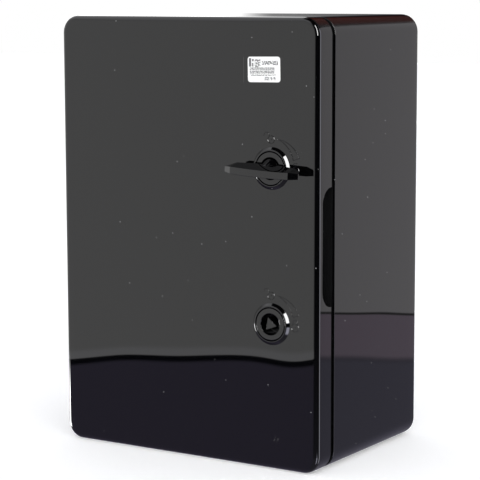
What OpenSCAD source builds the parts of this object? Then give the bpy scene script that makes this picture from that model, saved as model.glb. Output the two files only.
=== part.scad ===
// Wall-mount ABS enclosure: a moulded base, a side-hinged door with a deep skirt, two quarter-turn
// locks with triangular inserts, and a wing key that sits in the upper lock.
//
// Frame: the origin is the centre of the back face, which lies against the wall. +X is right as seen
// from the front, +Z is up, and the front faces -Y.
// Every sub-part is drawn lying on its back, with x right, y up and z as the height above the wall,
// and upright() then stands it up.

/* [Enclosure] */
// Overall width
body_w = 207; // [202:1:240]
// Overall height
body_h = 300; // [280:1:360]
// Depth from the wall to the door's front face
body_d = 142; // [130:1:180]
// Radius of the four corners seen from the front
corner_r = 12; // [11:0.5:14]
// Radius of the base's back edge
back_edge_r = 8; // [6:0.5:9]
// Wall thickness of the base
base_wall = 3; // [2.5:0.1:3.5]
// Width of the flange that turns inward at the base's mouth
flange_w = 15.5; // [15:0.1:18]

/* [Door] */
// Thickness of the door's front panel
door_t = 3; // [2.5:0.1:3.5]
// Depth of the door's skirt, front face to rear edge
skirt_d = 18; // [17:0.5:20]
// Thickness of the door's skirt
skirt_t = 2.8; // [2.4:0.1:3]
// Radius of the door's front edge
door_edge_r = 4.3; // [3:0.1:5]
// Gap between the skirt's rear edge and the base
seam_gap = 3.8; // [3:0.1:5]
// Length of the finger notch in the skirt's free side
notch_len = 78.8; // [50:1:100]
// How far above the middle the finger notch sits
notch_y = 0; // [-5:0.1:5]
// Depth of the finger notch, from the skirt's rear edge
notch_d = 11.6; // [9:0.1:12]
// Radius of the notch's two corners
notch_r = 11; // [6:0.5:11]

/* [Seal] */
// Distance from the outer faces to the base's sealing rim
rim_inset = 11.5; // [11.5:0.1:13]
// Thickness of the sealing rim
rim_t = 2.5; // [2:0.1:2.5]
// Height of the sealing rim in front of the base
rim_h = 13; // [10:0.1:13]
// Thickness of the ribs that hold the gasket
rib_t = 1.2; // [1:0.1:1.5]

/* [Hinges] */
// Distance of each hinge above and below the middle
hinge_y = 100; // [60:1:110]
// Distance from the hinge side's outer face to the hinge axis
hinge_inset = 4.5; // [4.5:0.1:4.8]
// Distance from the door's front face back to the hinge axis
hinge_back = 13; // [12.5:0.1:13.5]
// Outer radius of the hinge knuckles
knuckle_r = 4.2; // [3.8:0.1:4.2]
// Radius of the hinge pin
pin_r = 1.6; // [1.4:0.1:1.8]
// Length of the door's knuckle
knuckle_len = 14; // [10:1:20]

/* [Locks] */
// Distance of the locks from the middle, towards the free side
lock_x = 68.4; // [60:0.1:68.5]
// Distance of each lock above and below the middle of the pair
lock_y = 51.6; // [40:0.1:60]
// How far above the door's middle the pair of locks sits
lock_rise = 0; // [-5:0.1:5]
// Largest radius of the lock's bezel
bezel_r = 14.2; // [13.5:0.1:15]
// How far the bezel stands proud of the door
bezel_h = 2; // [1.6:0.1:2.4]
// Radius of the threaded barrel behind the bezel
barrel_r = 10.9; // [10.9:0.1:11]
// Radius of the well around the triangular insert
well_r = 7.3; // [6.8:0.1:7.4]
// Side of the triangular insert before its corners are rounded off
insert_side = 8.4; // [8.2:0.1:8.8]
// Length of the cam from the lock's axis to its tip
cam_reach = 28; // [26:0.5:28]

/* [Key] */
// Length of the key's wing
wing_l = 56; // [50:1:60]
// Thickness of the wing at its rear edge
wing_t = 7; // [6:0.1:8]
// Thickness of the wing at its front edge
wing_front_t = 4; // [3:0.1:5]
// How far the key hangs clockwise in the play of its socket, in degrees
key_droop = 2.5; // [0:0.5:3]

/* [Mounting] */
// Spacing of the wall fixing holes across the width
wall_hole_x = 168; // [160:1:168]
// Spacing of the wall fixing holes up the height
wall_hole_y = 262.5; // [240:0.5:262.5]
// Radius of the wall fixing holes
wall_hole_r = 2.5; // [2:0.1:2.5]
// Width of the mounting plate
plate_w = 160; // [140:1:160]
// Height of the mounting plate
plate_h = 252; // [230:1:252]
// Thickness of the mounting plate
plate_t = 2; // [1.5:0.1:3]
// Height of the plate's underside above the wall
plate_z = 14; // [12:0.5:20]

/* [Hidden] */
$fn = 64;

black = [0.03, 0.03, 0.035];
brass = [0.72, 0.6, 0.35];
zinc = [0.72, 0.73, 0.74];
steel = [0.6, 0.6, 0.62];
rubber = [0.1, 0.1, 0.1];
white = [0.93, 0.93, 0.9];

both = [-1, 1];
over = 1;             // how far a cutter reaches past the surface it opens
fit_gap = 0.05;       // radial gap of a turning or pushed-in fit

// Heights above the wall
door_front = body_d;
door_inner = door_front - door_t;
skirt_rear = door_front - skirt_d;
base_front = skirt_rear - seam_gap;
flange_rear = base_front - base_wall;
rim_front = base_front + rim_h;

// Sealing rim, gasket and its two ribs, as distances in from the outer faces
rim_r = 3.5;
rib_gap = 0.8;
outer_rib_inset = rim_inset - rib_gap - rib_t;
inner_rib_inset = rim_inset + rim_t + rib_gap;
gasket_gap = 0.6;
rib_lift = 0.2;
gasket_side_gap = 0.05;
mouth_r = 3;

// Hinges
hinge_x = hinge_inset - body_w / 2;
hinge_z = door_front - hinge_back;
ear_len = 7;
ear_gap = 0.3;
hinge_half = knuckle_len / 2 + ear_gap + ear_len;
hinge_relief = 0.7;
hinge_band = 4.5;     // front strip of the skirt that passes over a hinge uncut
web_outer = 3.6;      // the knuckle's and the ears' webs stop short of the knuckle's own radius
web_inner = 2.5;
neck_outer = 2;
pin_end_gap = 0.3;

// Lock housing
bezel_rise_r = 12.3;
cap_r = 10.6;
cap_seat_r = 11.5;
cap_t = 0.9;
cap_seat_d = 1;
core_r = 8.6;
shaft_r = 5;
bore_floor = door_front - 12;
housing_rear = flange_rear + 0.2;
seal_t = 1;
seal_r = 15;
nut_t = 5;
nut_af = 27;
hole_gap = 0.1;

// Lock core
well_floor = door_front - 8;
insert_top = door_front + bezel_h - 0.1;
insert_tip_r = 4.7;
axial_gap = 0.05;
groove_floor = bore_floor + 1;
groove_h = 2;
ring_r = 0.75;

// Cam, its square seat and its screw
cam_gap = 0.4;
cam_t = 2.5;
cam_front = flange_rear - cam_gap;
cam_rear = cam_front - cam_t;
cam_hub_r = 9;
cam_bar_w = 11;
square_w = 7;
square_gap = 0.1;
cam_washer_t = 1;
m5_r = 2.4;
m5_hole_r = 2.45;
m5_washer_hole_r = 2.65;
m5_head_r = 4.2;
m5_head_h = 3;
m5_slot_w = 1.2;
m5_slot_d = 1.2;
cam_screw_l = 11;

// Wing key
key_barrel_r = 6.2;
key_neck_r = 3.3;
key_cone_rear = door_front + 2.5;
key_cone_front = door_front + 8.5;
key_floor_gap = 0.5;
socket_side = insert_side + 1;    // leaves the key the play that it hangs in
socket_tip_r = 5;
wing_rear_z = door_front + 5.5;
wing_front_z = door_front + 17.5;
wing_tip_z = door_front + 12.8;
wing_bow = 1.2;       // how far the front edge falls back before the facets at its ends
wing_bevel = 1.4;     // how far back the front edge's two bevels reach
wing_facet = 6;       // the end facets, front and rear, as lengths along the wing
wing_rear_facet = 3.4;
wing_rear_rise = 2.1;
wing_waist = 10;

// Mounting plate and its bosses
boss_x = 66;
boss_y = 108;
boss_r = 5.5;
boss_rib_t = 2;
boss_rib_l = 9;
insert_r = 3.25;
insert_l = 8;
plate_chamfer = 18;
plate_hole_r = 2.8;
plate_washer_r = 5;
plate_washer_t = 1;
plate_screw_l = 10;
wall_pad_r = 8;
wall_pad_t = 5;

// Label
label_w = 24.8;
label_h = 16.6;
label_r = 1.8;
label_t = 0.15;
label_x = 62.6;
label_y = 115.9;
label_tilt = 1;       // stuck on a little askew, in degrees

// ---- Shared shapes ----

// Stands a part up: its height above the wall becomes -Y
module upright() {
    rotate([90, 0, 0]) children();
}

module rounded_rect(w, h, r) {
    square([w - 2 * r, h], center = true);
    square([w, h - 2 * r], center = true);
    for (sx = both, sy = both)
        translate([sx * (w / 2 - r), sy * (h / 2 - r)]) circle(r);
}

// A rounded rectangle, set in from the body's outer faces, from height z0 to z1
module slab(inset, r, z0, z1) {
    translate([0, 0, z0])
        linear_extrude(z1 - z0) rounded_rect(body_w - 2 * inset, body_h - 2 * inset, r);
}

// A closed band that follows the body's outline
module band(inset, thickness, r, z0, z1) {
    difference() {
        slab(inset, r, z0, z1);
        slab(inset + thickness, max(r - thickness, 1), z0 - over, z1 + over);
    }
}

// A quarter-round edge, as a section from the corner's centre outward
module edge_section(r, edge) {
    square([r - edge, edge]);
    translate([r - edge, edge]) intersection() {
        circle(edge);
        translate([0, -edge]) square(edge);
    }
}

// The flat end of a box whose outline has corners of radius r and whose end edge is rounded.
// The flat face is at height 0 and the cap is as high as the edge's radius.
module rounded_cap(w, h, r, edge) {
    translate([r - w / 2, r - h / 2, 0]) cube([w - 2 * r, h - 2 * r, edge]);
    for (turn = [0, 180]) rotate(turn) {
        translate([w / 2 - r, 0, 0])
            rotate([90, 0, 0]) linear_extrude(h - 2 * r, center = true) edge_section(r, edge);
        translate([0, h / 2 - r, 0])
            rotate([90, 0, 90]) linear_extrude(w - 2 * r, center = true) edge_section(r, edge);
        translate([w / 2 - r, h / 2 - r, 0])
            rotate_extrude(angle = 90) edge_section(r, edge);
        translate([w / 2 - r, r - h / 2, 0])
            rotate([0, 0, -90]) rotate_extrude(angle = 90) edge_section(r, edge);
    }
}

module ring(outer_r, inner_r, h) {
    difference() {
        cylinder(r = outer_r, h = h);
        translate([0, 0, -over]) cylinder(r = inner_r, h = h + 2 * over);
    }
}

// A cylinder along the hinge axis, centred at height y up the body
module along_hinge(y, r, l) {
    translate([hinge_x, y, hinge_z]) rotate([90, 0, 0]) cylinder(r = r, h = l, center = true);
}

module at_bosses() {
    for (sx = both, sy = both) translate([sx * boss_x, sy * boss_y, 0]) children();
}

module at_wall_holes() {
    for (sx = both, sy = both)
        translate([sx * wall_hole_x / 2, sy * wall_hole_y / 2, 0]) children();
}

// side is 1 for the upper lock and -1 for the lower one
module at_lock(side) {
    translate([lock_x, lock_rise + side * lock_y, 0]) children();
}

// A slotted pan-head screw with its head at the bottom of its own z axis
module pan_screw(l) {
    difference() {
        cylinder(r = m5_head_r, h = m5_head_h);
        translate([0, 0, (m5_slot_d - over) / 2])
            cube([2 * m5_head_r + over, m5_slot_w, m5_slot_d + over], center = true);
    }
    translate([0, 0, m5_head_h]) cylinder(r = m5_r, h = l);
}

// A triangle with its corners rounded off by a circle and one corner pointing right
module rounded_triangle(side, tip_r) {
    reach = side / sqrt(3);
    intersection() {
        polygon([for (a = [0, 120, 240]) reach * [cos(a), sin(a)]]);
        circle(tip_r);
    }
}

// ---- Base ----

module base_outer() {
    rounded_cap(body_w, body_h, corner_r, back_edge_r);
    slab(0, corner_r, back_edge_r, base_front);
}

module base_cavity() {
    translate([0, 0, base_wall])
        rounded_cap(body_w - 2 * base_wall, body_h - 2 * base_wall,
                    corner_r - base_wall, back_edge_r - base_wall);
    slab(base_wall, corner_r - base_wall, back_edge_r, flange_rear);
    slab(flange_w, mouth_r, flange_rear - over, base_front + over);
}

// Two ears on the base carry the pin, one each side of the door's knuckle
module base_ears() {
    for (sy = both, end = both) {
        y = sy * hinge_y + end * (knuckle_len / 2 + ear_gap + ear_len / 2);
        along_hinge(y, knuckle_r, ear_len);
        translate([hinge_x - neck_outer, y - ear_len / 2, flange_rear])
            cube([neck_outer + web_outer, ear_len, hinge_z - flange_rear]);
    }
}

module plate_bosses() {
    at_bosses() {
        translate([0, 0, base_wall - over / 2]) cylinder(r = boss_r, h = plate_z - base_wall + over / 2);
        for (turn = [0, 90]) rotate(turn)
            translate([-boss_rib_l, -boss_rib_t / 2, base_wall - over / 2])
                cube([2 * boss_rib_l, boss_rib_t, (plate_z - base_wall) / 2]);
    }
}

module base_shell() {
    color(black) upright() {
        difference() {
            union() {
                difference() {
                    base_outer();
                    base_cavity();
                }
                band(rim_inset, rim_t, rim_r, base_front - over, rim_front);
                base_ears();
                plate_bosses();
                at_wall_holes()
                    translate([0, 0, base_wall - over / 2])
                        cylinder(r = wall_pad_r, h = wall_pad_t - base_wall + over / 2);
            }
            at_wall_holes()
                translate([0, 0, -over]) cylinder(r = wall_hole_r, h = wall_pad_t + 2 * over);
            at_bosses()
                translate([0, 0, plate_z - insert_l]) cylinder(r = insert_r + fit_gap, h = insert_l + over);
            for (sy = both)
                along_hinge(sy * hinge_y, pin_r + fit_gap / 2, 2 * hinge_half + over);
        }
    }
}

module plate_inserts() {
    color(brass) upright()
        at_bosses() translate([0, 0, plate_z - insert_l]) ring(insert_r, m5_hole_r, insert_l);
}

module mounting_plate() {
    x = plate_w / 2;
    y = plate_h / 2;
    c = plate_chamfer;
    color(zinc) upright() difference() {
        translate([0, 0, plate_z]) linear_extrude(plate_t)
            polygon([
                [-x, c - y], [c - x, -y], [x - c, -y], [x, c - y],
                [x, y - c], [x - c, y], [c - x, y], [-x, y - c]
            ]);
        at_bosses() translate([0, 0, plate_z - over]) cylinder(r = plate_hole_r, h = plate_t + 2 * over);
    }
}

module plate_washers() {
    color(steel) upright()
        at_bosses() translate([0, 0, plate_z + plate_t])
            ring(plate_washer_r, m5_washer_hole_r, plate_washer_t);
}

module plate_screws() {
    head_front = plate_z + plate_t + plate_washer_t + m5_head_h;
    color(steel) upright()
        at_bosses() translate([0, 0, head_front]) mirror([0, 0, 1]) pan_screw(plate_screw_l);
}

module hinge_pins() {
    color(steel) upright()
        for (sy = both) along_hinge(sy * hinge_y, pin_r, 2 * (hinge_half - pin_end_gap));
}

// ---- Door ----

module door_outer() {
    translate([0, 0, door_front]) mirror([0, 0, 1])
        rounded_cap(body_w, body_h, corner_r, door_edge_r);
    slab(0, corner_r, skirt_rear, door_front - door_edge_r);
}

// The notch is open at the skirt's rear edge, so its outline starts well behind that edge
module finger_notch() {
    notch_h = 2 * notch_d;
    translate([body_w / 2 - skirt_t - over, notch_y, skirt_rear])
        rotate([90, 0, 90]) linear_extrude(skirt_t + 2 * over) rounded_rect(notch_len, notch_h, notch_r);
}

module hinge_notches() {
    half = hinge_half + hinge_relief;
    for (sy = both)
        translate([-body_w / 2 - over, sy * hinge_y - half, skirt_rear - over])
            cube([skirt_t + 2 * over, 2 * half, skirt_d - hinge_band + over]);
}

module door_knuckles() {
    for (sy = both) difference() {
        union() {
            along_hinge(sy * hinge_y, knuckle_r, knuckle_len);
            translate([hinge_x - web_outer, sy * hinge_y - knuckle_len / 2, hinge_z])
                cube([web_outer + web_inner, knuckle_len, hinge_back - door_t / 2]);
        }
        along_hinge(sy * hinge_y, pin_r + fit_gap, knuckle_len + over);
    }
}

module gasket_ribs() {
    z0 = rim_front + rib_lift;
    band(outer_rib_inset, rib_t, rim_r + rib_gap + rib_t, z0, door_inner + door_t / 2);
    band(inner_rib_inset, rib_t, rib_t + 1, z0, door_inner + door_t / 2);
}

module door_panel() {
    color(black) upright() difference() {
        union() {
            difference() {
                door_outer();
                slab(skirt_t, corner_r - skirt_t, skirt_rear - over, door_inner);
                finger_notch();
                hinge_notches();
            }
            gasket_ribs();
            door_knuckles();
        }
        for (side = both)
            at_lock(side) translate([0, 0, door_inner - over])
                cylinder(r = barrel_r + hole_gap, h = door_t + 2 * over);
    }
}

module door_gasket() {
    inset = outer_rib_inset + rib_t + gasket_side_gap;
    thickness = inner_rib_inset - inset - gasket_side_gap;
    color(rubber) upright()
        band(inset, thickness, rim_r + rib_gap, rim_front + gasket_gap, door_inner);
}

module rating_label() {
    color(white) upright()
        translate([label_x, label_y, door_front]) rotate(label_tilt) linear_extrude(label_t)
            rounded_rect(label_w, label_h, label_r);
}

// ---- Locks ----

module lock_housing(side) {
    top = door_front + bezel_h;
    color(black) upright() at_lock(side) rotate_extrude() polygon([
        [shaft_r + fit_gap, housing_rear],
        [barrel_r, housing_rear],
        [barrel_r, door_front],
        [bezel_r, door_front],
        [bezel_rise_r, top],
        [cap_seat_r, top],
        [cap_seat_r, top - cap_seat_d],
        [core_r + fit_gap, top - cap_seat_d],
        [core_r + fit_gap, bore_floor],
        [shaft_r + fit_gap, bore_floor]
    ]);
}

module lock_seal(side) {
    color(rubber) upright() at_lock(side)
        translate([0, 0, door_inner - seal_t]) ring(seal_r, barrel_r + fit_gap, seal_t);
}

module lock_nut(side) {
    color(black) upright() at_lock(side) translate([0, 0, door_inner - seal_t - nut_t])
        difference() {
            cylinder(r = nut_af / sqrt(3), h = nut_t, $fn = 6);
            translate([0, 0, -over]) cylinder(r = barrel_r + fit_gap, h = nut_t + 2 * over);
        }
}

// The core turns in the housing. Its front disc fills the bezel, its well holds the insert, and its
// rear end is a square for the cam.
module lock_core(side) {
    top = door_front + bezel_h;
    seat = bore_floor + axial_gap;
    shaft_end = cam_front + axial_gap;
    square_end = cam_rear + axial_gap;
    color(black) upright() at_lock(side) {
        rotate_extrude() polygon([
            [m5_hole_r, shaft_end],
            [shaft_r, shaft_end],
            [shaft_r, seat],
            [core_r, seat],
            [core_r, groove_floor],
            [core_r - 2 * ring_r - fit_gap, groove_floor],
            [core_r - 2 * ring_r - fit_gap, groove_floor + groove_h],
            [core_r, groove_floor + groove_h],
            [core_r, top - cap_t],
            [cap_r, top - cap_t],
            [cap_r, top],
            [well_r, top],
            [well_r, well_floor],
            [0, well_floor],
            [0, cam_rear + cam_screw_l + over],
            [m5_hole_r, cam_rear + cam_screw_l + over]
        ]);
        translate([0, 0, well_floor - over])
            linear_extrude(insert_top - well_floor + over) rounded_triangle(insert_side, insert_tip_r);
        translate([0, 0, square_end]) linear_extrude(shaft_end - square_end) difference() {
            square(square_w, center = true);
            circle(m5_hole_r);
        }
    }
}

module core_ring(side) {
    color(rubber) upright() at_lock(side) translate([0, 0, groove_floor + groove_h / 2])
        rotate_extrude() translate([core_r - ring_r, 0]) circle(ring_r);
}

// At rest the cam's tongue points to the free side and lies behind the base's flange
module cam(side) {
    end_r = cam_bar_w / 2;
    color(zinc) upright() at_lock(side) translate([0, 0, cam_rear])
        linear_extrude(cam_t) difference() {
            union() {
                circle(cam_hub_r);
                translate([0, -end_r]) square([cam_reach - end_r, cam_bar_w]);
                translate([cam_reach - end_r, 0]) circle(end_r);
            }
            square(square_w + 2 * square_gap, center = true);
        }
}

module cam_washer(side) {
    color(steel) upright() at_lock(side)
        translate([0, 0, cam_rear - cam_washer_t]) ring(plate_washer_r, m5_washer_hole_r, cam_washer_t);
}

module cam_screw(side) {
    color(steel) upright() at_lock(side)
        translate([0, 0, cam_rear - cam_washer_t - m5_head_h]) pan_screw(cam_screw_l);
}

// ---- Key ----

// The wing from above: a bowed front edge, faceted ends, and a rear edge that rises from the waist
module wing_outline() {
    tip_x = wing_l / 2;
    front_x = tip_x - wing_facet;
    rear_x = tip_x - wing_rear_facet;
    front_z = wing_front_z - wing_bow;
    rear_z = wing_rear_z + wing_rear_rise;
    bow_r = (front_x * front_x + wing_bow * wing_bow) / (2 * wing_bow);
    polygon([
        [-tip_x, wing_tip_z], [-rear_x, rear_z], [-wing_waist, wing_rear_z],
        [wing_waist, wing_rear_z], [rear_x, rear_z], [tip_x, wing_tip_z],
        [front_x, front_z], [-front_x, front_z]
    ]);
    intersection() {
        translate([0, wing_front_z - bow_r]) circle(bow_r, $fn = 360);
        translate([-front_x, wing_tip_z]) square([2 * front_x, wing_front_z - wing_tip_z]);
    }
}

module wing() {
    rear = wing_t / 2;
    front = wing_front_t / 2;
    intersection() {
        rotate([90, 0, 0]) linear_extrude(2 * wing_t, center = true) wing_outline();
        rotate([90, 0, 90]) linear_extrude(wing_l + over, center = true)
            polygon([
                [-rear, wing_rear_z - over], [rear, wing_rear_z - over],
                [rear, wing_front_z - wing_bevel], [front, wing_front_z],
                [front, wing_front_z + over], [-front, wing_front_z + over],
                [-front, wing_front_z], [-rear, wing_front_z - wing_bevel]
            ]);
    }
}

module wing_key() {
    floor_z = well_floor + key_floor_gap;
    color(black) upright() at_lock(1) rotate(-key_droop) difference() {
        union() {
            translate([0, 0, floor_z]) cylinder(r = key_barrel_r, h = key_cone_rear - floor_z);
            translate([0, 0, key_cone_rear])
                cylinder(r1 = key_barrel_r, r2 = key_neck_r, h = key_cone_front - key_cone_rear);
            wing();
        }
        translate([0, 0, floor_z - over])
            linear_extrude(insert_top + key_floor_gap - floor_z + over)
                rounded_triangle(socket_side, socket_tip_r);
    }
}

base_shell();
plate_inserts();
mounting_plate();
plate_washers();
plate_screws();
hinge_pins();
door_panel();
door_gasket();
rating_label();
lock_housing(1);  // upper_lock_housing
lock_housing(-1);  // lower_lock_housing
lock_seal(1);  // upper_lock_seal
lock_seal(-1);  // lower_lock_seal
lock_nut(1);  // upper_lock_nut
lock_nut(-1);  // lower_lock_nut
lock_core(1);  // upper_lock_core
lock_core(-1);  // lower_lock_core
core_ring(1);  // upper_core_ring
core_ring(-1);  // lower_core_ring
cam(1);  // upper_cam
cam(-1);  // lower_cam
cam_washer(1);  // upper_cam_washer
cam_washer(-1);  // lower_cam_washer
cam_screw(1);  // upper_cam_screw
cam_screw(-1);  // lower_cam_screw
wing_key();
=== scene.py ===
import math

import bmesh
import bpy
from mathutils import Matrix, Vector, noise


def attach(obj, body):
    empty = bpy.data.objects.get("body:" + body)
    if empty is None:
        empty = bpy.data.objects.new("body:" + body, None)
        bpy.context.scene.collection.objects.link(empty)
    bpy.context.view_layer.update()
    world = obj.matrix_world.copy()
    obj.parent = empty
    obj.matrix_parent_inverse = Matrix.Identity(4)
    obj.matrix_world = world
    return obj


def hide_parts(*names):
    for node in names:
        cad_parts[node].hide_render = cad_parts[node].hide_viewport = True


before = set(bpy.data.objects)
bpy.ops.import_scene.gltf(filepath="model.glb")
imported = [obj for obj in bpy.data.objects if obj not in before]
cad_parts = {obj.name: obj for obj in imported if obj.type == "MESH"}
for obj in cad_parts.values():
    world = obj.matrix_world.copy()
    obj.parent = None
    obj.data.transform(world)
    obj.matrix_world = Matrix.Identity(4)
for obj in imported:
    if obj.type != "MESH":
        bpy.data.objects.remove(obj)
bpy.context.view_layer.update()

# Lengths in this script are in millimetres, in the frame: x right, z up, y negative towards the viewer.
MM = 0.001
OVER = 1.0

# Enclosure
HALF_W = 103.5
HALF_H = 150.0
CORNER_R = 12.0
DOOR_FRONT = -142.0
DOOR_INNER = -139.0
SKIRT_REAR = -124.0
SKIRT_T = 2.8
DOOR_EDGE_R = 4.3
BASE_FRONT = -120.2
FLANGE_REAR = -117.2
BASE_WALL = 3.0
BACK_EDGE_R = 8.0
RIM_FRONT = -133.2
RIB_REAR = -133.4
GASKET_REAR = -133.8
IN_DOOR = 1.5          # how far what is moulded onto the door's inside reaches into it

# Hinges
HINGE_X = -99.0
HINGE_Y = -129.0
HINGE_Z = 100.0
KNUCKLE_R = 4.2
KNUCKLE_HALF = 7.0
EAR_GAP = 0.3
EAR_LEN = 7.0
PIN_R = 1.6
PIN_HALF = 14.0

# Locks and key
LOCKS = {"upper": (68.4, 51.6), "lower": (68.4, -51.6)}
LABEL = (62.6, 115.9)
LABEL_TILT = math.radians(1.0)
LABEL_HALF_W = 12.4
LABEL_HALF_H = 8.3
CAP_FRONT = -144.0
CAP_SEAT = -143.0
CAP_R = 10.7
WELL_R = 7.3
WELL_FLOOR = -134.0
BARREL_R = 10.9
CORE_R = 8.6
SHAFT_R = 5.0
TIP_HALF_ANGLE = 2.5   # each corner of a triangular insert or socket is an arc of twice this
INSERT_TURN = {"upper": 0, "lower": -10}
CAM_FRONT = -116.8
CAM_REAR = -114.3
CAM_SCREW_SEAT = -113.3
CAM_SCREW_L = 11.0
CAM_SLOT_TURN = {"upper": 0.7, "lower": 2.3}

# Mounting plate
BOSS_X = 66.0
BOSS_Z = 108.0
WALL_HOLE_X = 84.0
WALL_HOLE_Z = 131.25
PLATE_HALF_W = 80.0
PLATE_HALF_H = 126.0
PLATE_CHAMFER = 18.0
PLATE_BACK = -14.0
PLATE_FRONT = -16.0
WASHER_FRONT = -17.0
WASHER_R = 5.0
WASHER_HOLE_R = 2.65
BORE_R = 2.45          # of the threaded inserts and the tapped shafts


# ---- Shapes: every one is (vertices, faces) in millimetres ----

def rounded(points, steps=3):
    """A polyline whose corners are rounded. Each point is (u, v, radius)."""
    out = []
    last = len(points) - 1
    for i, (u, v, r) in enumerate(points):
        here = Vector((u, v))
        if i in (0, last) or r == 0:
            out.append((u, v))
            continue
        before = Vector(points[i - 1][:2]) - here
        after = Vector(points[i + 1][:2]) - here
        half = before.angle(after) / 2
        reach = min(r / math.tan(half), before.length * 0.49, after.length * 0.49)
        radius = reach * math.tan(half)
        centre = here + (before.normalized() + after.normalized()).normalized() * (radius / math.sin(half))
        start = here + before.normalized() * reach - centre
        end = here + after.normalized() * reach - centre
        sweep = start.angle_signed(end)
        count = max(steps, int(radius))
        for k in range(count + 1):
            turned = start.copy()
            turned.rotate(Matrix.Rotation(-sweep * k / count, 2))
            out.append(tuple(centre + turned))
    return out


def subdivided(points, longest):
    out = [points[0]]
    for a, b in zip(points, points[1:]):
        count = max(1, math.ceil(math.dist(a, b) / longest))
        out += [tuple(p + (q - p) * k / count for p, q in zip(a, b)) for k in range(1, count + 1)]
    return out


def outline_ring(half_w, half_h, r, across, up, arc):
    """Points of a rounded rectangle, right side first, going anticlockwise as seen from the front."""
    points = []
    corners = [(1, 1, 0, across), (-1, 1, 90, up), (-1, -1, 180, across), (1, -1, 270, up)]
    for i, (sx, sz, start, count) in enumerate(corners):
        cx, cz = sx * (half_w - r), sz * (half_h - r)
        for k in range(arc + 1):
            a = math.radians(start + 90 * k / arc)
            points.append((cx + r * math.cos(a), cz + r * math.sin(a)))
        nx, nz, nstart, _ = corners[(i + 1) % 4]
        a = math.radians(nstart)
        ends = points[-1], (nx * (half_w - r) + r * math.cos(a), nz * (half_h - r) + r * math.sin(a))
        for k in range(1, count):
            points.append(tuple(p + (q - p) * k / count for p, q in zip(*ends)))
    return points


def loft(rings, closed=False, caps=True):
    """Joins rings of equally many 3D points. caps closes the two ends with one face each."""
    n = len(rings[0])
    verts = [p for ring in rings for p in ring]
    faces = []
    pairs = list(zip(range(len(rings)), range(1, len(rings))))
    if closed:
        pairs.append((len(rings) - 1, 0))
    for a, b in pairs:
        for k in range(n):
            m = (k + 1) % n
            faces.append((a * n + k, a * n + m, b * n + m, b * n + k))
    if caps and not closed:
        faces.append(tuple(range(n)))
        faces.append(tuple((len(rings) - 1) * n + k for k in range(n)))
    return verts, faces


def box_shell(profile, corner, across, up, arc, closed=False):
    """Sweeps a profile of (inset, y) round the enclosure's outline, whose corner radius there is corner(inset).
    An open profile's two ends are closed with a grid."""
    rings = []
    for inset, y in profile:
        r = corner(inset)
        ring = outline_ring(HALF_W - inset, HALF_H - inset, r, across, up, arc)
        rings.append([(x, y, z) for x, z in ring])
    verts, faces = loft(rings, closed, caps=False)
    if closed:
        return verts, faces
    n = len(rings[0])
    for at in (0, len(rings) - 1):
        inset, y = profile[at]
        r = corner(inset)
        half_w, half_h = HALF_W - inset - r, HALF_H - inset - r
        first = len(verts)
        verts += [
            (half_w * (2 * i / across - 1), y, half_h * (2 * j / up - 1))
            for j in range(up + 1) for i in range(across + 1)
        ]

        def core(i, j):
            return first + j * (across + 1) + i

        for j in range(up):
            for i in range(across):
                faces.append((core(i, j), core(i + 1, j), core(i + 1, j + 1), core(i, j + 1)))
        sides = [
            [core(i, up) for i in range(across, -1, -1)], [core(0, j) for j in range(up, -1, -1)],
            [core(i, 0) for i in range(across + 1)], [core(across, j) for j in range(up + 1)],
        ]
        k = at * n
        for side in sides:
            for step in range(arc):
                faces.append((side[0], k + step, k + step + 1))
            k += arc
            for step in range(len(side) - 1):
                nxt = k + step + 1
                if nxt == (at + 1) * n:
                    nxt = at * n
                faces.append((side[step], k + step, nxt, side[step + 1]))
            k += len(side) - 1
    return verts, faces


def lathe(profile, place=(0, 0), steps=64, axis="y", closed=True, thread=None):
    """Turns a profile of (radius, position along the axis) about an axis through place.
    thread is (start, end, pitch, depth, least): a helical groove from start to end where the radius is over least."""
    if thread:
        profile = subdivided(profile + [profile[0]] if closed else profile, thread[2] / 8)
        if closed:
            profile = profile[:-1]
    rings = []
    for r, at in profile:
        ring = []
        for k in range(steps):
            a = 2 * math.pi * k / steps
            radius = r
            if thread and thread[0] < at < thread[1] and r > thread[4]:
                fade = min(1, (at - thread[0]) / thread[2], (thread[1] - at) / thread[2])
                phase = (at / thread[2] + k / steps) % 1
                radius -= thread[3] * fade * abs(2 * phase - 1)
            u, v = radius * math.cos(a), radius * math.sin(a)
            ring.append((place[0] + u, at, place[1] + v) if axis == "y" else (place[0] + u, place[1] + v, at))
        rings.append(ring)
    return loft(rings, closed, caps=not closed)


def prism(outline, low, high, bevel=0.0, axis="y", steps=3):
    """Extrudes an anticlockwise outline of (u, v) along an axis, with its end edges rounded."""
    n = len(outline)
    inward = []
    for k in range(n):
        p, q, r = (Vector(outline[(k + d) % n]) for d in (-1, 0, 1))
        e, f = (q - p).normalized(), (r - q).normalized()
        left = Vector((-e.y, e.x)) + Vector((-f.y, f.x))
        inward.append(left.normalized() / max(left.length / 2, 0.3))
    stops = [(low, 0.0), (high, 0.0)]
    if bevel:
        turns = [math.pi / 2 * k / steps for k in range(steps + 1)]
        lows = [(low + bevel * (1 - math.cos(t)), bevel * (1 - math.sin(t))) for t in turns]
        stops = lows + [(low + high - at, inset) for at, inset in reversed(lows)]
    rings = []
    for at, inset in stops:
        flat = [Vector(p) + d * inset for p, d in zip(outline, inward)]
        place = {"x": lambda p: (at, p.x, p.y), "y": lambda p: (p.x, at, p.y), "z": lambda p: (p.x, p.y, at)}[axis]
        rings.append([place(p) for p in flat])
    return loft(rings)


def between(x, stops):
    """The straight lines through a list of (x, y), flat beyond its ends."""
    for (xa, ya), (xb, yb) in zip(stops, stops[1:]):
        if x <= xb:
            return ya + (yb - ya) * (max(x, xa) - xa) / (xb - xa)
    return stops[-1][1]


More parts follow.
